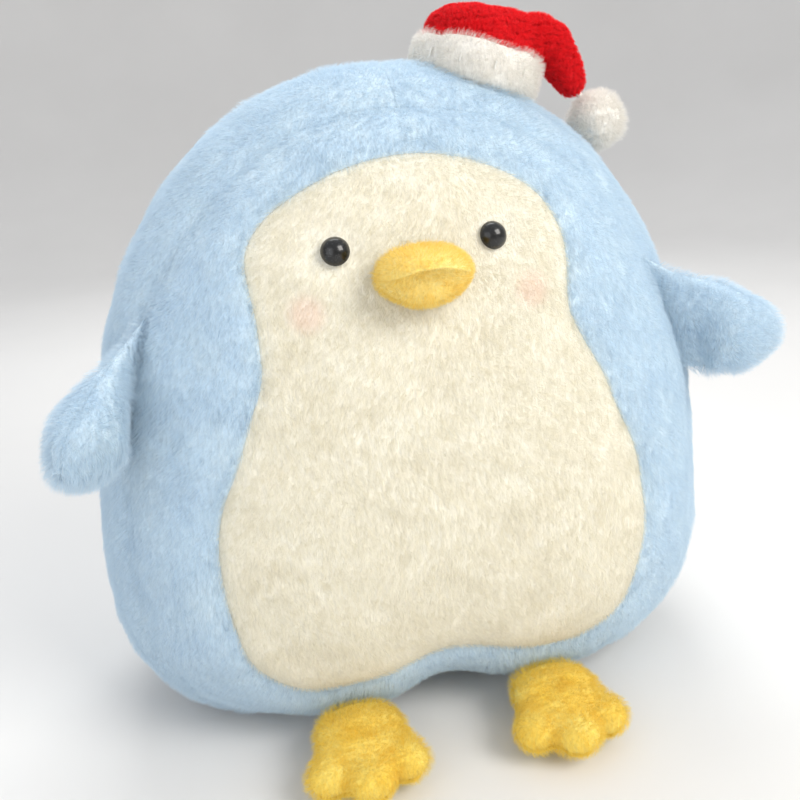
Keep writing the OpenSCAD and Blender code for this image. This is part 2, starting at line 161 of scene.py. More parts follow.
# Numbers without a pattern, which give each cell a random-looking spot
CELL_MIX = np.array([[127.1, 269.5, 113.5], [311.7, 183.3, 271.9], [74.7, 246.1, 124.6]])
CELL_SCALE = 437.585
KNOT_MIX = np.array([[12.9, 78.2, 37.7], [39.3, 11.1, 83.1], [93.9, 67.3, 21.9]])


def tufts(points, size, length=2.0):
    """Tufts of pile: 0 between them, 1 on their tops, and length times as tall as wide."""
    place = points / size * np.array([1, 1, 1 / length])
    cell = np.floor(place)
    nearest = np.full(points.shape[:-1], 4.0)
    for step in np.ndindex(3, 3, 3):
        near = cell + np.array(step) - 1
        mixed = np.sin(near @ CELL_MIX) * CELL_SCALE
        centre = near + mixed - np.floor(mixed)
        nearest = np.minimum(nearest, ((place - centre) ** 2).sum(-1))
    return 1 - np.minimum(1, np.sqrt(nearest))


# -------- the body's shape

def rim_radius(t, inset=0.0):
    """Radius of the body's outline in the direction t."""
    return superellipse(t, np.where(sind(t) > 0, N_UP, N_LOW), HALF_W - inset, HALF_H - inset)


def body_point(t, p, inset=0.0):
    """A point of the body: t goes round the outline, p from the back (-90) to the front (90)."""
    t, p = np.broadcast_arrays(np.asarray(t, float), np.asarray(p, float))
    q = superellipse(p, N_SIDE)
    r = q * cosd(p) * rim_radius(t, inset)
    rise = r * sind(t)
    x = r * cosd(t) * (1 - TAPER * rise / HALF_H)
    low = np.maximum(0, -rise / HALF_H)
    fore = ease(0.5 + sind(p))
    dent = NOTCH_H * np.exp(-(x / NOTCH_W) ** 2) * low ** 2 * fore
    depth = np.where(p > 0, FRONT_D, BACK_D) - inset
    y = -depth * q * sind(p) * (1 - BELLY * rise / HALF_H)
    z = CENTRE_Z + rise + dent
    floor = np.maximum(inset, 0)
    above = z - floor
    return np.stack([x, y, floor + (above + np.sqrt(above ** 2 + SEAT_SOFT ** 2)) / 2], -1)


def turn_at(c):
    """The turn p at which the body's ring has shrunk to the share c of the outline."""
    return np.degrees(np.arctan((np.clip(c, 1e-6, 1) ** -N_SIDE - 1) ** (1 / N_SIDE)))


def face_radius(a):
    """Radius of the face panel at a degrees from straight up: a smooth curve through FACE_OUTLINE."""
    knots = np.array(FACE_OUTLINE, float)
    k = np.clip(np.searchsorted(knots[:, 0], a, side="right") - 1, 0, len(knots) - 2)
    s = (a - knots[k, 0]) / (knots[k + 1, 0] - knots[k, 0])
    v0, v1 = knots[np.maximum(k - 1, 0), 1], knots[k, 1]
    v2, v3 = knots[k + 1, 1], knots[np.minimum(k + 2, len(knots) - 1), 1]
    curve = v1 + 0.5 * s * (v2 - v0 + s * (2 * v0 - 5 * v1 + 4 * v2 - v3 + s * (3 * (v1 - v2) + v3 - v0)))
    return curve * MM


def face_edge(t):
    """Radius of the face panel's outline in the direction t."""
    a = np.degrees(np.arccos(np.clip(sind(t), -1, 1)))
    return face_radius(a) - np.sign(cosd(t)) * TEMPLE_LEAN * np.exp(-((a - TEMPLE_AT) / TEMPLE_SPREAD) ** 2)


def face_turn(t):
    return turn_at(face_edge(t) / rim_radius(t))


def outline_place(x, z):
    """Direction and distance, before the taper, of a spot from the outline's middle."""
    rise = z - CENTRE_Z
    wide = x / (1 - TAPER * rise / HALF_H)
    return np.degrees(np.arctan2(rise, wide)), np.hypot(wide, rise)


def front_point(x, z):
    """The point of the body's front at x and z."""
    t, away = outline_place(x, z)
    return body_point(t, turn_at(away / rim_radius(t)))


def from_eye(points, side):
    """Distance from an eye, seen from the front."""
    return np.hypot(points[..., 0] - side * EYE_X - FACE_OFF, points[..., 2] - EYE_Z)


# -------- meshes

def add_object(name, data):
    """A new object in the scene."""
    added = bpy.data.objects.new(name, data)
    bpy.context.scene.collection.objects.link(added)
    return added


def smooth(mesh):
    mesh.polygons.foreach_set("use_smooth", [True] * len(mesh.polygons))


def new_mesh(name, points, faces):
    mesh = bpy.data.meshes.new(name)
    mesh.from_pydata(np.asarray(points).reshape(-1, 3).tolist(), [], faces)
    mesh.validate()
    mesh.update()
    smooth(mesh)
    return add_object(name, mesh)


def grid_faces(rows, n, wrap, start=0, flip=False):
    """Quads of a grid of rows + 1 by n points, or n + 1 where it doesn't wrap round."""
    width = n if wrap else n + 1
    faces = []
    for j in range(rows):
        for i in range(n):
            a = start + j * width + i
            b = start + j * width + (i + 1) % width
            quad = (a, b, b + width, a + width)
            faces.append(quad[::-1] if flip else quad)
    return faces


def closed_sheet(name, outer, inner, wrap):
    """A closed sheet of cloth between two grids of points. Returns the piece and its count of outer faces."""
    if np.sum(normals_of(outer, wrap) * (outer - inner)) < 0:
        outer, inner = outer[::-1], inner[::-1]
    rows, width = outer.shape[0] - 1, outer.shape[1]
    n = width if wrap else width - 1
    count = (rows + 1) * width
    faces = grid_faces(rows, n, wrap)
    outside = len(faces)
    faces += grid_faces(rows, n, wrap, count, True)
    top = rows * width
    for i in range(n):
        a, b = i, (i + 1) % width
        faces.append((b, a, a + count, b + count))
        faces.append((a + top, b + top, b + top + count, a + top + count))
    if not wrap:
        for j in range(rows):
            a, b = j * width, (j + 1) * width
            faces.append((a, b, b + count, a + count))
            a, b = a + n, b + n
            faces.append((b, a, a + count, b + count))
    piece = new_mesh(name, np.concatenate([outer.reshape(-1, 3), inner.reshape(-1, 3)]), faces)
    return piece, outside


def lump(name, points):
    """A closed skin on a grid that wraps round, its first and last rows drawn in to a point."""
    if np.sum(normals_of(points) * (points - points.mean((0, 1)))) < 0:
        points = points[::-1]
    rows, n = points.shape[0] - 1, points.shape[1]
    flat = np.concatenate([points[1:-1].reshape(-1, 3), points[:1, 0], points[-1:, 0]])
    faces = grid_faces(rows - 2, n, True)
    low, high, last = len(flat) - 2, len(flat) - 1, (rows - 2) * n
    for i in range(n):
        faces.append((low, (i + 1) % n, i))
        faces.append((high, last + i, last + (i + 1) % n))
    return new_mesh(name, flat, faces)


def vertex_normals(piece):
    flat = np.empty(len(piece.data.vertices) * 3, np.float32)
    piece.data.vertex_normals.foreach_get("vector", flat)
    return flat.reshape(-1, 3)


def solid_mesh(piece):
    """Works a piece's modifiers into its mesh."""
    bpy.context.view_layer.update()
    evaluated = piece.evaluated_get(bpy.context.evaluated_depsgraph_get())
    mesh = bpy.data.meshes.new_from_object(evaluated)
    piece.modifiers.clear()
    piece.data = mesh
    mesh.name = piece.name
    smooth(mesh)


def coords(piece):
    flat = np.empty(len(piece.data.vertices) * 3, np.float32)
    piece.data.vertices.foreach_get("co", flat)
    return flat.reshape(-1, 3).astype(float)


def set_coords(piece, points):
    piece.data.vertices.foreach_set("co", points.astype(np.float32).ravel())
    piece.data.update()


def blob(name, balls, voxel, rounds, place=None):
    """A soft lump: stretched balls, each a centre and three radii, melted into one skin."""
    form = bmesh.new()
    for centre, radii in balls:
        grown = bmesh.ops.create_icosphere(form, subdivisions=4, radius=1)["verts"]
        for v in grown:
            v.co = Vector(centre) + Vector(np.array(v.co) * radii)
    mesh = bpy.data.meshes.new(name)
    form.to_mesh(mesh)
    form.free()
    piece = add_object(name, mesh)
    melt = piece.modifiers.new("melt", "REMESH")
    melt.mode, melt.voxel_size = "VOXEL", voxel
    soften = piece.modifiers.new("soften", "SMOOTH")
    soften.factor, soften.iterations = 0.5, rounds
    solid_mesh(piece)
    if place is not None:
        set_coords(piece, place(coords(piece)))
    return piece


def normals_of(points, wrap=True):
    """Normals of a grid of points."""
    if wrap:
        du = np.roll(points, -1, 1) - np.roll(points, 1, 1)
    else:
        du = np.gradient(points, axis=1)
    dv = np.gradient(points, axis=0)
    return unit(np.cross(du, dv))


# -------- materials

def shader(name):
    """A new material with its nodes and its Principled shader."""
    material = bpy.data.materials.new(name)
    material.use_nodes = True
    nodes = material.node_tree.nodes
    return material, nodes, nodes["Principled BSDF"]


def link(output, socket):
    """Joins a node's output to another node's socket."""
    output.id_data.links.new(output, socket)


def set_inputs(node, values):
    """Sets a node's inputs by name."""
    for name, value in values.items():
        node.inputs[name].default_value = value


def ramp(nodes, source, stops):
    """Colours by a value: each stop is its place and its colour."""
    node = nodes.new("ShaderNodeValToRGB")
    while len(node.color_ramp.elements) < len(stops):
        node.color_ramp.elements.new(0.5)
    for element, (place, colour) in zip(node.color_ramp.elements, stops):
        element.position = place
        element.color = (*colour, 1)
    link(source, node.inputs["Fac"])
    return node.outputs["Color"]


def noise(nodes, scale, detail, stretch=(1, 1, 1)):
    """Noise in the object's own space: less than 1 in stretch draws it out along that axis."""
    place = nodes.new("ShaderNodeTexCoord")
    mapping = nodes.new("ShaderNodeMapping")
    mapping.inputs["Scale"].default_value = stretch
    node = nodes.new("ShaderNodeTexNoise")
    set_inputs(node, {"Scale": scale, "Detail": detail})
    link(place.outputs["Object"], mapping.inputs["Vector"])
    link(mapping.outputs["Vector"], node.inputs["Vector"])
    return node.outputs["Fac"]


def worked_out(nodes, operation, source, other=0):
    """The outcome of an operation on a node's output, and on a number or another output."""
    node = nodes.new("ShaderNodeMath")
    node.operation = operation
    link(source, node.inputs[0])
    if isinstance(other, (int, float)):
        node.inputs[1].default_value = other
    else:
        link(other, node.inputs[1])
    return node.outputs["Value"]


def blush(nodes, colour):
    """Adds the two soft pink cheeks to a colour."""
    place = nodes.new("ShaderNodeTexCoord")
    part = nodes.new("ShaderNodeSeparateXYZ")
    link(place.outputs["Object"], part.inputs["Vector"])
    middle = worked_out(nodes, "SUBTRACT", part.outputs["X"], FACE_OFF)
    across = nodes.new("ShaderNodeCombineXYZ")
    link(worked_out(nodes, "ABSOLUTE", middle), across.inputs["X"])
    link(part.outputs["Z"], across.inputs["Z"])
    away = nodes.new("ShaderNodeVectorMath")
    away.operation = "DISTANCE"
    away.inputs[1].default_value = (CHEEK_X, 0, CHEEK_Z)
    link(across.outputs["Vector"], away.inputs[0])
    fade = nodes.new("ShaderNodeMapRange")
    fade.interpolation_type = "SMOOTHSTEP"
    set_inputs(fade, {"From Min": CHEEK_R, "From Max": CHEEK_CORE_R, "To Max": CHEEK_PINK})
    link(away.outputs["Value"], fade.inputs["Value"])
    front = worked_out(nodes, "LESS_THAN", part.outputs["Y"], 0)
    share = worked_out(nodes, "MULTIPLY", fade.outputs["Result"], front)
    blend = nodes.new("ShaderNodeMix")
    blend.data_type = "RGBA"
    blend.inputs["B"].default_value = (0.93, 0.50, 0.42, 1)
    link(share, blend.inputs["Factor"])
    link(colour, blend.inputs["A"])
    return blend.outputs["Result"]


def multiplied(nodes, colour, by):
    """The product of two colours."""
    node = nodes.new("ShaderNodeMix")
    node.data_type = "RGBA"
    node.blend_type = "MULTIPLY"
    node.inputs["Factor"].default_value = 1
    link(colour, node.inputs["A"])
    link(by, node.inputs["B"])
    return node.outputs["Result"]


def add_bump(nodes, height, strength, depth, skin):
    """Bump on a shader."""
    bump = nodes.new("ShaderNodeBump")
    set_inputs(bump, {"Strength": strength, "Distance": depth})
    link(height, bump.inputs["Height"])
    link(bump.outputs["Normal"], skin.inputs["Normal"])


def cloth(name, dark, light, streak, pile=900, cheeks=False):
    """The pile's ground as the mesh shows it: patches, streaks of fibre, and a fine nap in the bump."""
    material, nodes, skin = shader(name)
    patches = ramp(nodes, noise(nodes, 45, 4), [(0.3, dark), (0.7, light)])
    streaks = ramp(nodes, noise(nodes, pile * 0.6, 3, (1, 1, 0.22)),
                   [(0.3, (streak,) * 3), (0.62, (1, 1, 1))])
    colour = multiplied(nodes, patches, streaks)
    if cheeks:
        colour = blush(nodes, colour)
    link(colour, skin.inputs["Base Color"])
    set_inputs(skin, {"Roughness": 0.9, "Sheen Weight": 0.15, "Sheen Roughness": 0.5})
    add_bump(nodes, noise(nodes, pile, 3, (1, 1, 0.3)), 0.6, 1.5 * MM, skin)
    return material


def strand(name, dark, light, root, through, cheeks=False):
    """One fibre of the pile: its colour differs from strand to strand, and is darkened towards the root as
    painted shade.

    through is the share of light that shines through it, and root the share of its colour that the painted
    shade leaves at the root.
    """
    material, nodes, skin = shader(name)
    info = nodes.new("ShaderNodeHairInfo")
    colour = ramp(nodes, info.outputs["Random"], [(0.0, dark), (1.0, light)])
    if cheeks:
        colour = blush(nodes, colour)
    # Painted shade: each fibre's colour darkens towards its root, down to the share root
    depth = ramp(nodes, info.outputs["Intercept"], [(0.0, (root,) * 3), (0.6, (1, 1, 1))])
    colour = multiplied(nodes, colour, depth)
    link(colour, skin.inputs["Base Color"])
    set_inputs(skin, {"Roughness": 0.6, "Specular IOR Level": 0.25})
    glow = nodes.new("ShaderNodeBsdfTranslucent")
    link(colour, glow.inputs["Color"])
    both = nodes.new("ShaderNodeMixShader")
    both.inputs["Fac"].default_value = through
    link(skin.outputs["BSDF"], both.inputs[1])
    link(glow.outputs["BSDF"], both.inputs[2])
    link(both.outputs["Shader"], nodes["Material Output"].inputs["Surface"])
    return material


# The dark and the light shade of each kind of pile
BLUE = (0.63, 0.76, 0.87), (0.77, 0.87, 0.93)
CREAM = (0.84, 0.80, 0.68), (0.91, 0.885, 0.785)
BEAK = (0.96, 0.70, 0.15), (1.0, 0.89, 0.40)
FOOT = (0.92, 0.66, 0.08), (0.96, 0.82, 0.24)
RED = (0.80, 0.004, 0.010), (1.0, 0.018, 0.028)
WHITE = (0.82, 0.79, 0.73), (0.96, 0.94, 0.90)


def tones(name, shades, ground_shade=0.9, streak=0.8, **more):
    """The ground, darkened beneath the pile as painted shade, and the fibres of one kind of pile."""
    # Painted shade: the ground under the fibres is darker than the pile, most in its darker channels
    ground = [tuple(c * mix(ground_shade, 1, c) for c in shade) for shade in shades]
    under = cloth(name + "_ground", *ground, cheeks=more.get("cheeks", False), streak=streak)
    return under, strand(name + "_pile", *shades, **more)


# Painted shade: each ground is darkened beneath the pile by its own factor
# Painted shade: root is the share of each fibre's colour left at its root
blue_ground, blue_pile = tones("blue", BLUE, ground_shade=0.6, root=0.9, through=0.42)
cream_ground, cream_pile = tones("cream", CREAM, ground_shade=0.95, streak=0.88, cheeks=True, root=0.94, through=0.48)
beak_ground, beak_pile = tones("beak", BEAK, root=0.9, through=0.4)
foot_ground, foot_pile = tones("foot", FOOT, root=0.92, through=0.42)
red_ground, red_pile = tones("red", RED, through=0.25, root=0.7)
white_ground, white_pile = tones("white", WHITE, root=0.95, through=0.5)
fibre = cloth("fibre", (0.80, 0.80, 0.80), (0.92, 0.92, 0.92), pile=300, streak=0.9)


# -------- fur

def scatter(piece, outside, density, rng):
    """Random places on the first outside faces of a piece, or on all of them: points and smooth normals."""
    mesh = piece.data
    mesh.calc_loop_triangles()
    triangles = len(mesh.loop_triangles)
    corners = np.empty(triangles * 3, np.int32)
    owner = np.empty(triangles, np.int32)
    mesh.loop_triangles.foreach_get("vertices", corners)
    mesh.loop_triangles.foreach_get("polygon_index", owner)
    corners = corners.reshape(-1, 3)
    if outside is not None:
        corners = corners[owner < outside]
    place, normal = coords(piece)[corners], vertex_normals(piece).astype(float)[corners]
    area = np.linalg.norm(np.cross(place[:, 1] - place[:, 0], place[:, 2] - place[:, 0]), axis=1) / 2
    count = int(area.sum() * density)
    pick = rng.choice(len(area), count, p=area / area.sum())
    u, v = rng.random(count), rng.random(count)
    over = u + v > 1
    u[over], v[over] = 1 - u[over], 1 - v[over]
    share = np.stack([1 - u - v, u, v], -1)[:, :, None]
    return (place[pick] * share).sum(1), unit((normal[pick] * share).sum(1))


def fur(piece, pile, comb, outside=None, *, seed, length=7 * MM, lift=0.4, thick=0.12 * MM, dense=1.0,
        curl=0.0, turns=1.5, clump=0.45, cell=2.6 * MM, stray=0.22, steps=5, trim=None, body=None, tag=""):
    """Covers a piece with fibres that lean along comb(points), as one hair object that goes with it.

    trim(points) gives each fibre's share of the length: none grows where it is 0. lift is how far the
    fibres stand up, stray how much they differ in their way, clump how far the tips in one cell draw
    together, and curl the radius of a fibre's turns. With body, they ride on that body, not on the piece.
    """
    rng = np.random.default_rng(seed)
    root, normal = scatter(piece, outside, FUR_DENSITY * dense, rng)
    uneven = 1 + 0.15 * ripple(root, 12 * MM, seed)
    reach = length * (0.7 + 0.45 * rng.random(len(root))) * uneven
    if trim is not None:
        share = trim(root)
        root, normal, reach = root[share > 0], normal[share > 0], (reach * share)[share > 0]
    count = len(root)
    if count == 0:
        return
    reach = reach[:, None]
    way = comb(root) + stray * rng.normal(size=(count, 3))
    way = unit(way - (way * normal).sum(1, keepdims=True) * normal)
    side = np.cross(normal, way)
    stand = lift * (1 + 0.35 * ripple(root, 22 * MM, seed + 7)[:, None])
    # Fibres near each other draw together at their tips
    knot = np.floor(root / cell)
    mixed = np.sin(knot @ KNOT_MIX)
    pull = (knot + 0.5 + 0.4 * mixed) * cell - root
    pull -= (pull * normal).sum(1, keepdims=True) * normal
    phase = rng.random((count, 1)) * math.tau
    rows = []
    for s in np.linspace(0, 1, steps):
        up = stand * s * (1.3 - 0.3 * s) + (1 - stand) * 0.3 * s * (1 - 0.5 * s)
        over = (1 - stand) * s * (0.5 + 0.5 * s)
        spot = root + reach * (normal * up + way * over) + pull * clump * s ** 1.4
        if curl:
            turn = phase + math.tau * turns * s
            spot = spot + curl * min(1, 2 * s) * (np.cos(turn) * way + np.sin(turn) * side)
        rows.append(spot)
    points = np.stack(rows, 1)
    points[:, :, 2] = np.maximum(points[:, :, 2], 0.3 * MM)
    name = piece.name + "_fur" + tag
    curves = bpy.data.hair_curves.new(name)
    curves.add_curves([steps] * count)
    curves.position_data.foreach_set("vector", points.astype(np.float32).ravel())
    radius = curves.attributes.new("radius", "FLOAT", "POINT")
    taper = FUR_THICK * thick / 2 * (1 - 0.8 * np.linspace(0, 1, steps) ** 2)
    radius.data.foreach_set("value", np.tile(taper, count).astype(np.float32))
    curves.materials.append(pile)
    coat = add_object(name, curves)
    if body is None:
        coat.parent = piece
    else:
        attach(coat, body)


def finish_piece(piece, ground, body, slot, *nodes, fill=0.8):
    """Gives a piece its cloth, its body and the CAD nodes that it stands for; fill, its filling, is not used.
    """
    piece.data.materials.append(ground)
    if body is not None:
        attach(piece, body)
    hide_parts(*nodes)


# -------- body panels

STEP = 2.3 * MM   # width of the panels' faces
GROOVE, GROOVE_W = 1.7 * MM, 7 * MM         # how deep and wide the seams draw the cloth in
PUFF, PUFF_W = 1.5 * MM, 25 * MM            # how far it swells between two seams
WAVE, WAVE_W, CREASE, CREASE_W = 1 * MM, 55 * MM, 0.5 * MM, 22 * MM
TUFT, TUFT_W = 1.2 * MM, 5 * MM
POLE = 89.97                                # the turn where a panel closes in the middle
ROUND = 1350 * MM                           # the body's girth
SEAT_RIM = 12 * MM                          # nothing swells below this height


def panel(name, t0, t1, low, high, wrap, low_seam=True, high_seam=True, relief=TUFT):
    """A closed sheet for the body between the turns low(t) and high(t), drawn in along its seams."""
    n = int(abs(t1 - t0) / 360 * ROUND / STEP)
    t = np.linspace(t0, t1, n + 1)[:n] if wrap else np.linspace(t0, t1, n + 1)
    middle = body_point(t[None], mix(low(t), high(t), np.linspace(0, 1, 30)[:, None]))
    length = np.linalg.norm(np.diff(middle, axis=0), axis=2).sum(0)
    rows = max(6, int(length.max() / STEP))
    v = np.linspace(0, 1, rows + 1)[:, None]
    turn = mix(low(t), high(t), v)
    rough = body_point(t[None], turn)
    step = np.linalg.norm(np.diff(rough, axis=0), axis=2)
    along = np.concatenate([np.zeros((1, len(t))), np.cumsum(step, 0)])
    groove = np.zeros_like(along)
    if low_seam:
        groove += np.exp(-(along / GROOVE_W) ** 2)
    if high_seam:
        groove += np.exp(-((along[-1] - along) / GROOVE_W) ** 2)
    puff = ease(np.minimum(along, along[-1] - along) / PUFF_W) if low_seam and high_seam else 0
    lumps = WAVE * ripple(rough, WAVE_W, 3) + CREASE * ripple(rough, CREASE_W, 4)
    inset = PILE + GROOVE * np.minimum(groove, 1) - PUFF * puff + lumps
    inset = np.where(rough[..., 2] > SEAT_RIM, inset, np.maximum(inset, PILE))
    for side in (-1, 1):
        away = from_eye(rough, side)
        dent = EYE_DENT * np.exp(-(away / EYE_DENT_R) ** 2) - PILE * np.exp(-(away / EYE_SEAT_R) ** 4)
        inset = inset + np.where(rough[..., 1] < 0, dent, 0)
    outer = body_point(t[None], turn, inset)
    outer += normals_of(outer, wrap) * (relief * tufts(outer, TUFT_W))[..., None]
    inner = body_point(t[None], turn, inset + PLUSH)
    return closed_sheet(name, outer, inner, wrap)


def flat_turn(value):
    """The same turn all round."""
    return lambda t: np.full_like(t, float(value))


def comb_face(points):
    """The face and belly's nap falls down and a little to the penguin's left, brushed aside in patches."""
    way = np.zeros_like(points) + np.array([0.4, 0, -1.0])
    way[:, 0] += 1.1 * ripple(points, 70 * MM, 11)
    return way


def comb_body(points):
    """The blue nap runs down and outward from the top of the head."""
    way = np.zeros_like(points)
    way[:, 0] = 0.9 * points[:, 0] / HALF_W + 0.35 * ripple(points, 50 * MM, 12)
    way[:, 1] = 0.5 * points[:, 1] / FRONT_D + 0.2 * ripple(points, 45 * MM, 14)
    way[:, 2] = -0.8 + 0.3 * ripple(points, 40 * MM, 13)
    return way


def clear_of_face_parts(points):
    """No pile grows under the eyes and the beak, and it is short round the eyes."""
    share = np.ones(len(points))
    for side in (-1, 1):
        away = from_eye(points, side)
        short = mix(0.45, 1, ease((away - 8 * MM) / (14 * MM)))
        share = np.minimum(share, np.where(away < 7.5 * MM, 0, short))
    beak = np.hypot((points[:, 0] - FACE_OFF) / (BEAK_W / 2), (points[:, 2] - BEAK_Z) / (BEAK_H / 2))
    return np.where(beak < 0.85, 0, share)


face, face_faces = panel("face_belly_cover", 0, 360, face_turn, flat_turn(POLE), True, high_seam=False,
                         relief=0.6 * TUFT)
finish_piece(face, cream_ground, "torso", "cream_plush", "face_belly_panel")
fur(face, cream_pile, comb_face, face_faces, length=5 * MM, lift=0.3, seed=21, dense=1.15, clump=0.2,
    stray=0.16, trim=clear_of_face_parts)

front, front_faces = panel("front_cover", 0, 360, flat_turn(SEAM_TURN), face_turn, True)
finish_piece(front, blue_ground, "torso", "blue_plush", "front_panel")
fur(front, blue_pile, comb_body, front_faces, seed=22, clump=0.3)


def near_face(points):
    """Patches of the blue pile's last few millimetres before the face."""
    t, away = outline_place(points[:, 0], points[:, 2])
    past = away - face_edge(t)
    return (past > 0) & (past < 4 * MM) & (ripple(points, 5 * MM, 23) > 0.1)


def comb_over_face(points):
    """Blue tufts at the edge of the face fall over the cream."""
    way = -points * np.array([1, 0, 1]) + np.array([0, 0, CENTRE_Z])
    return unit(way) + 0.5 * whirl(points, 9 * MM, 17)


fur(front, blue_pile, comb_over_face, front_faces, length=6 * MM, lift=0.4, seed=29, dense=1.1, stray=0.5,
    trim=near_face, tag="_edge")

for side, word in SIDES:
    start = -90 if side > 0 else 90
    gusset, count = panel(f"gusset_{word}_cover", start, start + 180, flat_turn(-SEAM_TURN),
                          flat_turn(SEAM_TURN), False)
    finish_piece(gusset, blue_ground, "torso", "blue_plush", f"gusset_{word}")
    fur(gusset, blue_pile, comb_body, count, seed=24 + side, clump=0.3)
    back, count = panel(f"back_{word}_cover", start, start + 180, flat_turn(-POLE), flat_turn(-SEAM_TURN),
                        False, low_seam=False)
    finish_piece(back, blue_ground, "torso", "blue_plush", f"back_panel_{word}")
    fur(back, blue_pile, comb_body, count, seed=34 + side, clump=0.3)

BASE_W, BASE_D, BASE_SQUARE = BODY_W * 0.6, (FRONT_D + BACK_D) * 0.46, 3.5


def base_ring(share, z):
    """A ring of the seat's rounded rectangle."""
    t = np.arange(160) * 360 / 160
    r = share * superellipse(t, BASE_SQUARE, BASE_W / 2, BASE_D / 2)
    return np.stack([r * cosd(t), r * sind(t), np.full_like(t, z)], -1)


# The seat's section: share of its size, and height in millimetres
base_profile = [
    (0, 0.2), (0.3, 0.2), (0.6, 0.2), (0.85, 0.2), (0.96, 0.4), (1.0, 1.2),
    (0.97, 2.0), (0.85, 2.3), (0.6, 2.3), (0.3, 2.3), (0, 2.3),
]
base = lump("base_cover", np.stack([base_ring(r, z * MM) for r, z in base_profile]))
finish_piece(base, blue_ground, "torso", "blue_plush", "base_panel", fill=None)


def fibre_lump(name, body, points, *nodes):
    """Loose fibre inside a cover."""
    points = points + normals_of(points) * (0.8 * MM * ripple(points, 8 * MM, 41))[..., None]
    piece = lump(name, points)
    finish_piece(piece, fibre, body, "fibre_filling", *nodes, fill=0.7)


turns_round = np.arange(96)[None] * 360 / 96
turns_over = np.linspace(-89.5, 89.5, 49)[:, None]
fibre_lump("body_fibre", "torso", body_point(turns_round, turns_over, PILE + GROOVE + 2 * PLUSH),
           "body_filling")


# -------- beak

BEAK_BACK = front_point(0, BEAK_Z - BEAK_H / 2)[1]
BEAK_SINK = 4 * MM
BEAK_SQUARE = 2.4
BEAK_TIP = 0.994        # the halves stop just short of the tip, so that it has no folded faces
LIP_RISE, LIP_ARCH, LIP_ROLL, HOLLOW = 4.5 * MM, 3 * MM, 1.8 * MM, 4.4 * MM


def bill_skin(a, v, inset, reach):
    """The beak's skin: a goes round its middle line and v from the face to its front."""
    q = superellipse(90 * v, BEAK_SQUARE)
    ring = q * cosd(90 * v)
    across = ring * cosd(a)
    edge = BEAK_Z + (LIP_RISE + LIP_ARCH * q * sind(90 * v)) * (1 - across ** 2)
    high = np.where(sind(a) > 0, BEAK_Z + BEAK_H / 2 - edge, edge - BEAK_Z + BEAK_H / 2) - inset
    up = ring * sind(a)
    roll = -LIP_ROLL * np.exp(-((up - 0.12) / 0.2) ** 2)
    dip = HOLLOW * np.exp(-((up + 0.38) / 0.3) ** 2)
    lip = (roll + dip) * (1 - across ** 4) * v
    x = FACE_OFF + (BEAK_W / 2 - inset) * across
    y = BEAK_BACK + BEAK_SINK - (reach + BEAK_SINK - inset) * q * sind(90 * v) + lip
    return np.stack([x + 0 * y, y, edge + high * up], -1)


def comb_beak(points):
    """The beak's nap lies forward and out from its middle."""
    way = points - np.array([FACE_OFF, 0, BEAK_Z])
    way[:, 1] = -12 * MM
    return unit(way) + 0.4 * whirl(points, 7 * MM, 53)


def bill(name, low, high, reach, node, seed):
    """Half of the beak, a closed cap between the turns low and high round its middle line."""
    a, v = np.linspace(low, high, 61)[None], np.linspace(0, BEAK_TIP, 33)[:, None]
    skin, lining = bill_skin(a, v, 1.2 * MM, reach), bill_skin(a, v, 3.5 * MM, reach)
    piece, count = closed_sheet(name, skin, lining, False)
    finish_piece(piece, beak_ground, "torso", "beak_plush", node)
    fur(piece, beak_pile, comb_beak, count, length=4.4 * MM, lift=0.5, seed=seed, dense=1.6, clump=0.4,
        stray=0.35)


bill("beak_upper_cover", 0, 180, BEAK_L, "beak_upper", 51)
bill("beak_lower_cover", 180, 360, BEAK_L * 0.92, "beak_lower", 52)
a, v = np.arange(32)[None] * 360 / 32, np.linspace(-88, 88, 17)[:, None]
fibre_lump("beak_fibre", "torso", np.stack([
    FACE_OFF + (BEAK_W / 2 - 6 * MM) * cosd(v) * cosd(a),
    BEAK_BACK - BEAK_L * 0.36 - BEAK_L * 0.28 * sind(v) + 0 * a,
    BEAK_Z + (BEAK_H / 2 - 6 * MM) * cosd(v) * sind(a)], -1), "beak_filling")


# -------- flippers

LEAST = 0.3 * MM        # half width and half thickness at the very tip


def flipper_frame(side):
    """The middle of the flipper's seam, and the directions up it, out and back, on the penguin's left."""
    low = body_point(ROOT_TURN - ROOT_REACH, SEAM_TURN)
    high = body_point(ROOT_TURN + ROOT_REACH, SEAM_TURN)
    level = np.array([cosd(LEAN[side]), -sind(LEAN[side]), 0])
    up = unit(high - low)
    out = unit(level - (level @ up) * up)
    return (low + high) / 2, up, out, np.cross(up, out)


def mirrored(side, points):
    """Points of the penguin's left, on the given side."""
    return points * np.array([side, 1, 1])


def hanging(angle):
    """The direction, out and up, that droops by an angle."""
    return np.array([cosd(angle), -sind(angle)])


def middle_line(droop, v):
    """Points and directions of the flipper's middle line, out and up from its seam, for v from 0 to 1."""
    start = np.array([ROOT_OFF, -ROOT_DROP])
    tip = start + FLIPPER_L * hanging(droop)
    c = [start, start + FIRST_L * FLIPPER_L * hanging(droop),
         tip - LAST_L * FLIPPER_L * hanging(droop + TIP_HANG), tip]
    v = v[..., None]
    spot = (1 - v) ** 3 * c[0] + 3 * v * (1 - v) ** 2 * c[1] + 3 * v * v * (1 - v) * c[2] + v ** 3 * c[3]
    way = (1 - v) ** 2 * (c[1] - c[0]) + 2 * v * (1 - v) * (c[2] - c[1]) + v * v * (c[3] - c[2])
    return spot, unit(way)


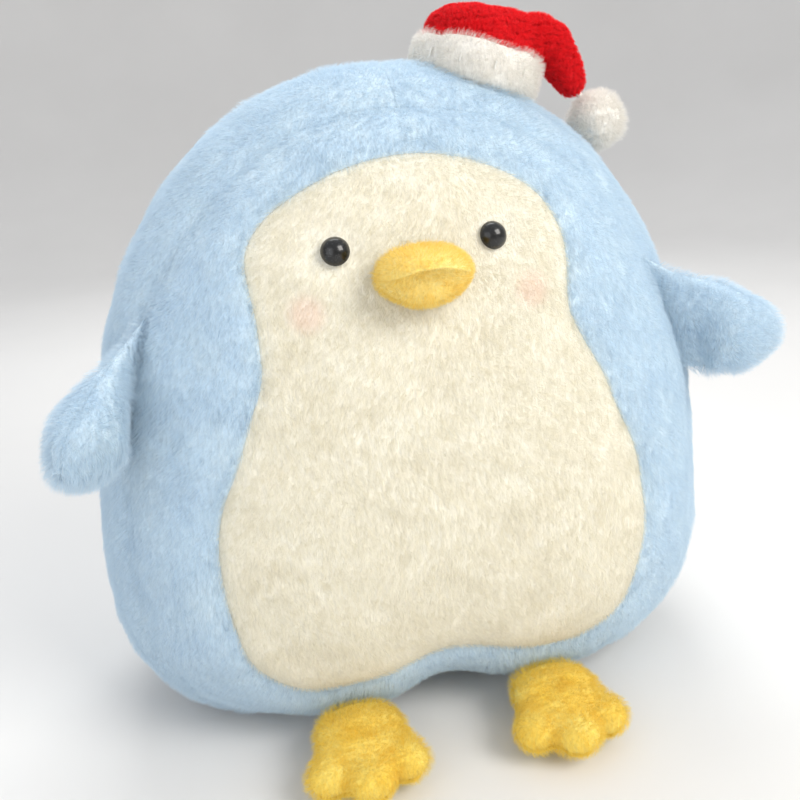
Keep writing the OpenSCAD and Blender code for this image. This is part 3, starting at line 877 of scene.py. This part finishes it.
def flipper_grid(side, a, inset):
    """A flipper's skin: a goes round it, and the rows run from the body's seam to its tip."""
    seam_spot, up, out, back = flipper_frame(side)
    v = (1 - np.cos(np.linspace(0, math.pi / 2, 40)) ** 1.2)[:, None]
    spot, way = middle_line(DROOP[side], v * (1 - inset / FLIPPER_L))
    square = np.stack([-way[..., 1], way[..., 0]], -1)
    across = unit(mix(np.array([0.0, 1.0]), square, ease(v / SQUARE_AT)[..., None]))
    wide = mix(ROOT_W, FLIPPER_W / 2, ease(v / WIDE_AT))
    wide = wide * np.sqrt(1 - np.clip((v - WIDE_AT) / (1 - WIDE_AT), 0, 1) ** 2)
    thick = mix(ROOT_T, FLIPPER_T / 2, ease(v / THICK_AT))
    thick = thick * np.sqrt(1 - np.clip((v - THICK_AT) / (1 - THICK_AT), 0, 1) ** TIP_SQUARE)
    wide, thick = np.maximum(LEAST, wide - inset), np.maximum(LEAST, thick - inset)
    flat = spot + (wide * cosd(a))[..., None] * across
    round_off = np.abs(sind(a)) ** 0.85 * np.sign(sind(a))
    skin = seam_spot + out * flat[..., :1] + up * flat[..., 1:] - back * (thick * round_off)[..., None]
    # From the root, the skin closes on the body's seam
    seam = body_point(ROOT_TURN + SEAM_REACH * cosd(a), SEAM_TURN, inset)
    bridge = mix(seam, skin[:1], np.linspace(0, 1, 9)[:-1, None, None])
    skin = np.concatenate([bridge, skin])
    lumps = 0.45 * MM * ripple(skin, 22 * MM, 61) * ease(np.linspace(0, 4, len(skin)))[:, None]
    skin = skin + normals_of(skin, False) * lumps[..., None]
    return mirrored(side, skin)


def comb_flipper(side):
    """The nap runs from the seam to the tip, with a few cowlicks."""
    _, up, out, _ = flipper_frame(side)
    along = mirrored(side, out * cosd(DROOP[side]) - up * sind(DROOP[side]))
    return lambda points: along + 0.5 * whirl(points, 25 * MM, 62)


def past_root(side):
    """Distance of points from the flipper's seam, outward."""
    seam_spot, _, out, _ = flipper_frame(side)
    return lambda points: (mirrored(side, points) - seam_spot) @ out


for side, word in SIDES:
    away = past_root(side)
    for half, start in (("front", 0), ("back", 180)):
        a = np.linspace(start, start + 180, 61)[None]
        skin = flipper_grid(side, a, 3 * MM)
        raised = TUFT * tufts(skin, TUFT_W) * np.minimum(1, np.arange(len(skin)) / 6)[:, None]
        raised = raised * ease(np.minimum(a - start, start + 180 - a) / 20)
        skin = skin + side * normals_of(skin, False) * raised[..., None]
        lining = flipper_grid(side, a, 5.5 * MM)
        piece, count = closed_sheet(f"flipper_{word}_{half}_cover", skin, lining, False)
        finish_piece(piece, blue_ground, None, "blue_plush", f"flipper_{word}_{half}")
        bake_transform(piece)
        for tag, body, inner in (("_root", "torso", True), ("_tip", f"flipper_{word}", False)):
            fur(piece, blue_pile, comb_flipper(side), count, length=8.5 * MM, lift=0.55, seed=65 + side,
                dense=1.3, stray=0.3, body=body, tag=tag,
                trim=lambda points: (away(points) < ROOT_OFF / 2) == inner)
    grid = flipper_grid(side, np.arange(0, 360, 12)[None], 7 * MM)
    fibre_lump(f"flipper_{word}_fibre", f"flipper_{word}", grid[12:-1], f"flipper_{word}_filling")


# -------- feet

def toe_spot(reach, turn, z):
    """The spot at a reach from the foot's root, turned sideways from straight ahead."""
    return reach * math.sin(math.radians(turn)), -reach * math.cos(math.radians(turn)), z


def foot_balls(inset):
    """The root, the pad and the three toes as centres and radii, in the foot's own frame."""
    balls = [
        ((0, -5 * MM, 15 * MM), (28 * MM, 12 * MM, 15 * MM)),
        ((0, -15 * MM, 15 * MM), (30 * MM, 18 * MM, 16 * MM)),
        ((0, -28 * MM, 13.5 * MM), (31 * MM, 20 * MM, 15 * MM)),
    ]
    for turn in (-TOE_TURN, 0, TOE_TURN):
        length = FOOT_L if turn == 0 else FOOT_L * SIDE_TOE
        for share in (0.45, 0.6, 0.75, 0.9, 1.0):
            reach = (length - TOE_R) * share
            balls.append((toe_spot(reach, turn, 12 * MM),
                          (TOE_R * 1.2, TOE_R * 1.06, TOE_R * mix(1.1, 0.95, share))))
    for turn in (-TOE_TURN / 2, TOE_TURN / 2):          # the web between the toes
        balls.append((toe_spot(FOOT_L * 0.6, turn, 11.5 * MM), (14 * MM, 17 * MM, 12.5 * MM)))
    return [(centre, tuple(r - inset for r in radii)) for centre, radii in balls]


def raise_tufts(piece, size, depth):
    """Raises tufts of pile on a piece, along its normals."""
    normal = vertex_normals(piece)
    points = coords(piece)
    set_coords(piece, points + depth * tufts(points, size, length=1)[:, None] * normal)


def comb_foot(points):
    return np.array([0, -0.8, -0.5]) + 0.8 * whirl(points, 12 * MM, 71)


TOP_LOW, SOLE_LOW, SOLE_HIGH, STUFFING_LOW = 2.4 * MM, 0.2 * MM, 3.4 * MM, 5 * MM

for side, word in SIDES:
    place = np.array([side * FOOT_X, FOOT_Y, FOOT_Z])
    top = blob(f"foot_{word}_top_cover", foot_balls(2.4 * MM), 1.6 * MM, 22)
    points = coords(top)
    points[:, 2] = np.maximum(points[:, 2], TOP_LOW)
    set_coords(top, points + place)
    raise_tufts(top, 3 * MM, 1 * MM)
    finish_piece(top, foot_ground, f"foot_{word}", "foot_plush", f"foot_{word}_top")
    fur(top, foot_pile, comb_foot, length=6.5 * MM, lift=0.6, seed=74 + side, dense=1.1, curl=0.6 * MM,
        turns=0.8, clump=0.6, stray=0.5, trim=lambda points: points[:, 2] > FOOT_Z + TOP_LOW + 0.3 * MM)
    sole = blob(f"foot_{word}_sole_cover", foot_balls(5.5 * MM), 2 * MM, 14)
    points = coords(sole)
    points[:, 2] = mix(SOLE_LOW, SOLE_HIGH, (points[:, 2] - points[:, 2].min()) / np.ptp(points[:, 2]))
    set_coords(sole, points + place)
    finish_piece(sole, foot_ground, f"foot_{word}", "foot_plush", f"foot_{word}_sole", fill=None)
    inside = blob(f"foot_{word}_fibre", foot_balls(5 * MM), 2 * MM, 10)
    points = coords(inside)
    points[:, 2] = np.maximum(points[:, 2], STUFFING_LOW)
    set_coords(inside, points + place)
    finish_piece(inside, fibre, f"foot_{word}", "fibre_filling", f"foot_{word}_filling", fill=0.7)


# -------- hat

HAT_SPOT = body_point(HAT_TURN, 0)
HAT_TURNED = turned_about_y(HAT_TILT)
TIP_WAY = turned_about_y(90 + TIP_DROP) @ np.array([0, 0, 1])


def at_hat(points):
    """Points of the hat's own frame, whose Z goes up through the hat, on the head."""
    return HAT_SPOT + (points - np.array([0, 0, HAT_SINK])) @ HAT_TURNED.T


def tip_spot(along):
    """The spot of the tip's middle line at a distance from the fold, in the hat's frame."""
    return FOLD + TIP_WAY * along


def band_tube():
    """The trim's skin, w round its section and t round the hat, with soft bulges and tufts of pile."""
    t = np.linspace(0, 360, TRIM_N + 1)[:-1][None]
    w = np.linspace(0, 360, BAND_N + 1)[:-1][:, None]
    bulge = 0.48 * MM * ripple(np.stack([cosd(t), sind(t), 0 * t], -1) * HAT_R, 14 * MM, 81)
    half_t, half_h = BAND_T / 2 - 0.2 * MM, TRIM_H / 2 + 1.4 * MM
    ring = HAT_R - BAND_T / 2 + half_t * np.sign(cosd(w)) * np.abs(cosd(w)) ** 0.7 + bulge
    rise = TRIM_H / 2 - 3 * MM + half_h * np.sign(sind(w)) * np.abs(sind(w)) ** 0.8 + bulge
    tube = at_hat(np.stack([ring * cosd(t), ring * sind(t), rise + 0 * t], -1))
    outward = unit(tube - np.roll(tube, BAND_N // 2, 0))
    return tube + outward * (0.9 * MM * tufts(tube, 3.5 * MM, length=1.5))[..., None]


TRIM_N, BAND_N = 144, 32
# The tube's last row of faces ends on its first row of points
tube_faces = [tuple(k % (BAND_N * TRIM_N) for k in quad)
              for quad in grid_faces(BAND_N, TRIM_N, True)]
trim = new_mesh("hat_trim_cover", band_tube(), tube_faces)
finish_piece(trim, white_ground, "torso", "white_trim", "hat_trim")


def comb_trim(points):
    return np.array([0.2, 0, -0.6]) + 0.7 * whirl(points, 10 * MM, 82)


fur(trim, white_pile, comb_trim, length=5 * MM, lift=0.6, seed=85, dense=1.6, clump=0.6)

# The crown from its brim to the fold, as centres in the hat's frame and radii, in millimetres
crown_balls = [(np.array(centre) * MM, tuple(r * MM for r in radii)) for centre, radii in (
    ((0, 0, 19), (34.5, 34.5, 12)), ((-4, 0, 25), (29, 29, 15.5)), ((10, 0, 27), (25, 24, 15.5)),
    ((24, 0, 28), (18, 19, 14)), ((35, 0, 32), (14, 15, 13)))]
CROWN_BALLS = len(crown_balls)
for share in np.linspace(0, 1, 7):
    r = mix(TIP_ROOT_R, TIP_END_R, share) - 1 * MM
    crown_balls.append((tip_spot(share * (TIP_L - TIP_END_R) + 2 * MM), (r, r * 1.05, r)))
crown = blob("hat_crown_cover", crown_balls, 1.8 * MM, 6, at_hat)
points = coords(crown)
points = points + 0.8 * MM * ripple(points, 14 * MM, 86)[:, None] * unit(points - at_hat(FOLD * 0.5))
set_coords(crown, points)
raise_tufts(crown, 2.6 * MM, 1.2 * MM)
finish_piece(crown, red_ground, None, "red_sherpa", "hat_crown", "hat_tip", fill=0.5)
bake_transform(crown)


def past_fold(points):
    """Distance past the fold, across the hat."""
    return (points - at_hat(FOLD)) @ HAT_TURNED[:, 0]


def comb_sherpa(points):
    return whirl(points, 5 * MM, 87)


for tag, body, on_tip in (("_crown", "torso", False), ("_tip", "hat_tip", True)):
    fur(crown, red_pile, comb_sherpa, length=4 * MM, lift=0.65, thick=0.17 * MM, seed=90, dense=2.4,
        curl=0.9 * MM, turns=1.4, clump=0.8, steps=7, body=body, tag=tag,
        trim=lambda points: (past_fold(points) > 0) == on_tip)


def stuffing(balls):
    """The fibre inside a cover that is made of the given balls."""
    return [(centre, tuple(max(2 * MM, r - 4 * MM) for r in radii)) for centre, radii in balls]


hat_fibre = blob("hat_fibre", stuffing(crown_balls[1:CROWN_BALLS - 1]), 2 * MM, 6, at_hat)
finish_piece(hat_fibre, fibre, "torso", "fibre_filling", "hat_filling", fill=0.6)
tip_fibre = blob("hat_tip_fibre", stuffing(crown_balls[CROWN_BALLS + 1:]), 1.5 * MM, 4, at_hat)
finish_piece(tip_fibre, fibre, "hat_tip", "fibre_filling", "hat_tip_filling", fill=0.5)

POMPOM = at_hat(tip_spot(TIP_L + TIE_ROOM + TIE_L + POMPOM_R))
turns = np.arange(144)[None] * 360 / 144
heights = np.linspace(-90, 90, 97)[:, None]
ball = np.stack([cosd(heights) * cosd(turns), cosd(heights) * sind(turns), sind(heights) + 0 * turns], -1)
lumps = 0.05 * ripple(ball * POMPOM_R, 9 * MM, 95) + 0.1 * tufts(ball * POMPOM_R, 4.5 * MM, length=1)
pompom = lump("pompom_cover", POMPOM + ball * ((POMPOM_R - 3.5 * MM) * (1 + lumps))[..., None])
finish_piece(pompom, white_ground, "pompom", "white_pompom", "pompom", fill=0.8)
fur(pompom, white_pile, lambda points: whirl(points, 6 * MM, 96), length=6.5 * MM, lift=0.55, seed=99,
    dense=1.6, clump=0.5, cell=2.4 * MM, stray=0.8)


# -------- pieces kept from the CAD model

def plain(name, colour, roughness, grain=400):
    """Moulded or spun material: its colour varies a little, and its surface has a fine grain."""
    material, nodes, skin = shader(name)
    dark = tuple(0.9 * c for c in colour)
    link(ramp(nodes, noise(nodes, grain, 3), [(0.35, dark), (0.65, colour)]),
              skin.inputs["Base Color"])
    skin.inputs["Roughness"].default_value = roughness
    add_bump(nodes, noise(nodes, grain * 2, 2), 0.5, 0.15 * MM, skin)
    return material


def woven_tape():
    """Narrow satin tape: fine crossing threads, seen in its colour and its relief."""
    material, nodes, skin = shader("label_satin")
    place = nodes.new("ShaderNodeTexCoord")
    threads = []
    for way in ("X", "Z"):
        wave = nodes.new("ShaderNodeTexWave")
        wave.bands_direction = way
        set_inputs(wave, {"Scale": 350, "Distortion": 0.6})
        link(place.outputs["Object"], wave.inputs["Vector"])
        threads.append(wave.outputs["Color"])
    weave = multiplied(nodes, *threads)
    link(ramp(nodes, weave, [(0.0, (0.72, 0.72, 0.70)), (0.6, (0.90, 0.90, 0.88))]),
              skin.inputs["Base Color"])
    skin.inputs["Roughness"].default_value = 0.4
    add_bump(nodes, weave, 0.5, 0.1 * MM, skin)
    return material


def wear(names, material):
    """Gives CAD nodes a material."""
    for name in names:
        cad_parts[name].data.materials.clear()
        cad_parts[name].data.materials.append(material)


def eye_plastic():
    """Black polished plastic with fine glitter under its surface."""
    material, nodes, skin = shader("eye_black")
    cells = nodes.new("ShaderNodeTexVoronoi")
    cells.inputs["Scale"].default_value = 1400
    place = nodes.new("ShaderNodeTexCoord")
    link(place.outputs["Object"], cells.inputs["Vector"])
    link(ramp(nodes, cells.outputs["Distance"], [(0.1, (0.2, 0.21, 0.22)), (0.17, (0.004,) * 3)]),
              skin.inputs["Base Color"])
    set_inputs(skin, {"Roughness": 0.3, "Coat Weight": 0.6, "Coat Roughness": 0.03,
                      "Specular IOR Level": 0.3})
    return material


wear(["eye_left", "eye_right"], eye_plastic())
wear(["eye_washer_left", "eye_washer_right"], plain("washer_plastic", (0.85, 0.85, 0.83), 0.4))
wear(["closing_stitches"], plain("blue_thread", (0.50, 0.68, 0.88), 0.8, grain=900))
wear(["hat_tack_stitches", "pompom_tie"], plain("white_thread", (0.85, 0.84, 0.80), 0.8, grain=900))
wear(["care_label"], woven_tape())

# -------- camera, light and floor

CAM_AZ, CAM_EL, CAM_ROLL = -11.4, 19.5, -4.1
CAM_AWAY, CAM_LENS = 584 * MM, 37.1
CAM_TARGET = Vector((1.5, 0, 190.5)) * MM


def place_camera():
    """A camera in front, a little to the viewer's left and above, that leans a little."""
    camera = add_object("camera", bpy.data.cameras.new("camera"))
    camera.data.sensor_width = 36
    camera.data.lens = CAM_LENS
    camera.data.clip_start = 0.01
    a, e, r = (math.radians(x) for x in (CAM_AZ, CAM_EL, CAM_ROLL))
    back = Vector((math.sin(a) * math.cos(e), -math.cos(a) * math.cos(e), math.sin(e)))
    right = Vector((math.cos(a), math.sin(a), 0))
    up = back.cross(right)
    across = math.cos(r) * right + math.sin(r) * up
    rise = math.cos(r) * up - math.sin(r) * right
    turned = Matrix((across, rise, back)).transposed().to_4x4()
    camera.matrix_world = Matrix.Translation(CAM_TARGET + back * CAM_AWAY) @ turned
    bpy.context.scene.camera = camera


def area_light(name, place, aim, size, power, colour):
    """A square lamp at a place, aimed at a spot."""
    lamp = bpy.data.lights.new(name, "AREA")
    lamp.size, lamp.energy, lamp.color = size, power, colour
    light = add_object(name, lamp)
    light.location = place
    light.rotation_euler = (Vector(aim) - Vector(place)).to_track_quat("-Z", "Y").to_euler()


place_camera()
area_light("key", (0.9, -1.1, 1.2), (0, 0, 0.2), 0.9, 22, (1.0, 0.97, 0.92))
area_light("fill", (-1.2, -1.1, 0.7), (0, 0, 0.2), 1.4, 7, (0.93, 0.96, 1.0))
area_light("rim", (0.1, 0.9, 1.5), (0, 0, 0.3), 1.0, 14, (0.97, 0.99, 1.0))
world = bpy.data.worlds.new("studio")
world.use_nodes = True
set_inputs(world.node_tree.nodes["Background"], {"Color": (0.94, 0.96, 1.0, 1), "Strength": 0.75})
bpy.context.scene.world = world
bpy.context.scene.view_settings.view_transform = "Standard"

# A floor whose edge curves up all the way round, so no view shows a horizon
FLOOR_R, SWEEP_R, WALL_H, FLOOR_N = 1.8, 1.4, 2.4, 96
sweep = np.radians(np.linspace(0, 90, 19))
profile = [(r, 0.0) for r in (0.02, 0.6, 1.2, FLOOR_R)]
profile += [(FLOOR_R + SWEEP_R * math.sin(b), SWEEP_R * (1 - math.cos(b))) for b in sweep[1:]]
profile.append((FLOOR_R + SWEEP_R, WALL_H))
turn = np.linspace(0, math.tau, FLOOR_N + 1)[:-1]
bowl = np.array([[(r * math.cos(t), r * math.sin(t), z) for t in turn] for r, z in profile])
floor = new_mesh("floor", bowl, grid_faces(len(profile) - 1, FLOOR_N, True) + [tuple(range(FLOOR_N))])
floor_paint, floor_nodes, floor_skin = shader("floor")
floor_tone = ramp(floor_nodes, noise(floor_nodes, 2.5, 3),
                  [(0.3, (0.73, 0.72, 0.705)), (0.7, (0.76, 0.75, 0.735))])
link(floor_tone, floor_skin.inputs["Base Color"])
floor_skin.inputs["Roughness"].default_value = 0.8
floor.data.materials.append(floor_paint)
